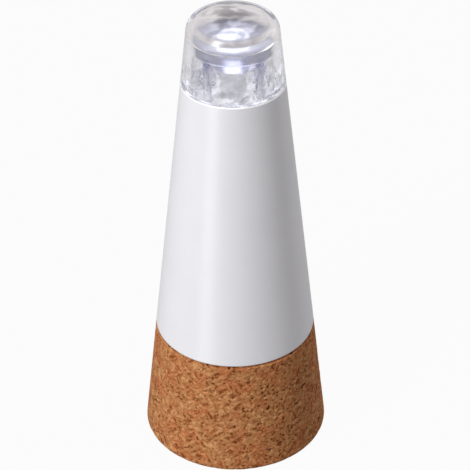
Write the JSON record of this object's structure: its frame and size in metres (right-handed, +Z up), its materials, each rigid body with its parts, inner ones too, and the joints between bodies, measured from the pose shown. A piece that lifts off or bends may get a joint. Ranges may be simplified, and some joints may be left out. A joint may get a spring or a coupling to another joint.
{
  "type": "cork bottle light",
  "caption": "Tapered rechargeable light for a bottle neck: cork base cap over a charging plug, white tapered housing and a clear lens tip with a white lamp.",
  "frame": {"origin": "middle of the cork's flat foot, on the table", "axes": "+Z up along the cone's axis from the cork to the clear tip, +X along the plug's width, +Y towards the power button"},
  "size_m": [0.0248, 0.0248, 0.0633],
  "materials": {
    "cork": "sanded agglomerated cork, fine grains",
    "white_plastic": "smooth satin gloss moulding",
    "clear_plastic": "polished clear moulding",
    "phosphor": "matt, lit cool white",
    "lamp_ceramic": "matt ceramic",
    "white_board": "white solder mask",
    "green_board": "green solder mask",
    "bright_steel": "nickel plated sheet",
    "gold_contact": "gold flash",
    "nickel_strip": "dull nickel strip",
    "black_plastic": "fine matt moulding",
    "small_part_ceramic": "matt ceramic with tinned ends",
    "grey_plastic": "fine matt moulding",
    "cell_wrap": "shrink wrap over a drawn can",
    "foam": "closed cell foam",
    "red_insulation": "soft wire insulation",
    "black_insulation": "soft wire insulation"
  },
  "bodies": {
    "cork_base": {"cork_sleeve": "cork", "cork_liner": "white_plastic"},
    "light_unit": {"housing_shell": "white_plastic", "end_plate": "white_plastic", "end_plate_screws": "bright_steel", "lens_cap": "clear_plastic", "collimator_lens": "clear_plastic", "led_dome": "clear_plastic", "led_phosphor": "phosphor", "led_package": "lamp_ceramic", "led_board": "white_board", "plug_shell": "bright_steel", "plug_tongue": "black_plastic", "plug_contacts": "gold_contact", "base_board": "green_board", "charge_chip": "black_plastic", "board_passives": "small_part_ceramic", "cell_cradle": "grey_plastic", "battery_cell": "cell_wrap", "battery_tabs": "nickel_strip", "foam_pad": "foam", "battery_lead_red": "red_insulation", "battery_lead_black": "black_insulation", "led_lead_red": "red_insulation", "led_lead_black": "black_insulation", "switch_case": "black_plastic", "switch_cover": "bright_steel"},
    "power_button": {"button_cap": "grey_plastic", "switch_plunger": "grey_plastic"}
  },
  "joints": [
    {"name": "light_lift", "type": "slide", "parent": "cork_base", "child": "light_unit", "axis": [0, 0, 1], "range_m": [0, 0.02]},
    {"name": "button_press", "type": "slide", "parent": "light_unit", "child": "power_button", "axis": [0, 0, 1], "range_m": [0, 0.0004], "stiffness_N_per_m": 200}
  ]
}
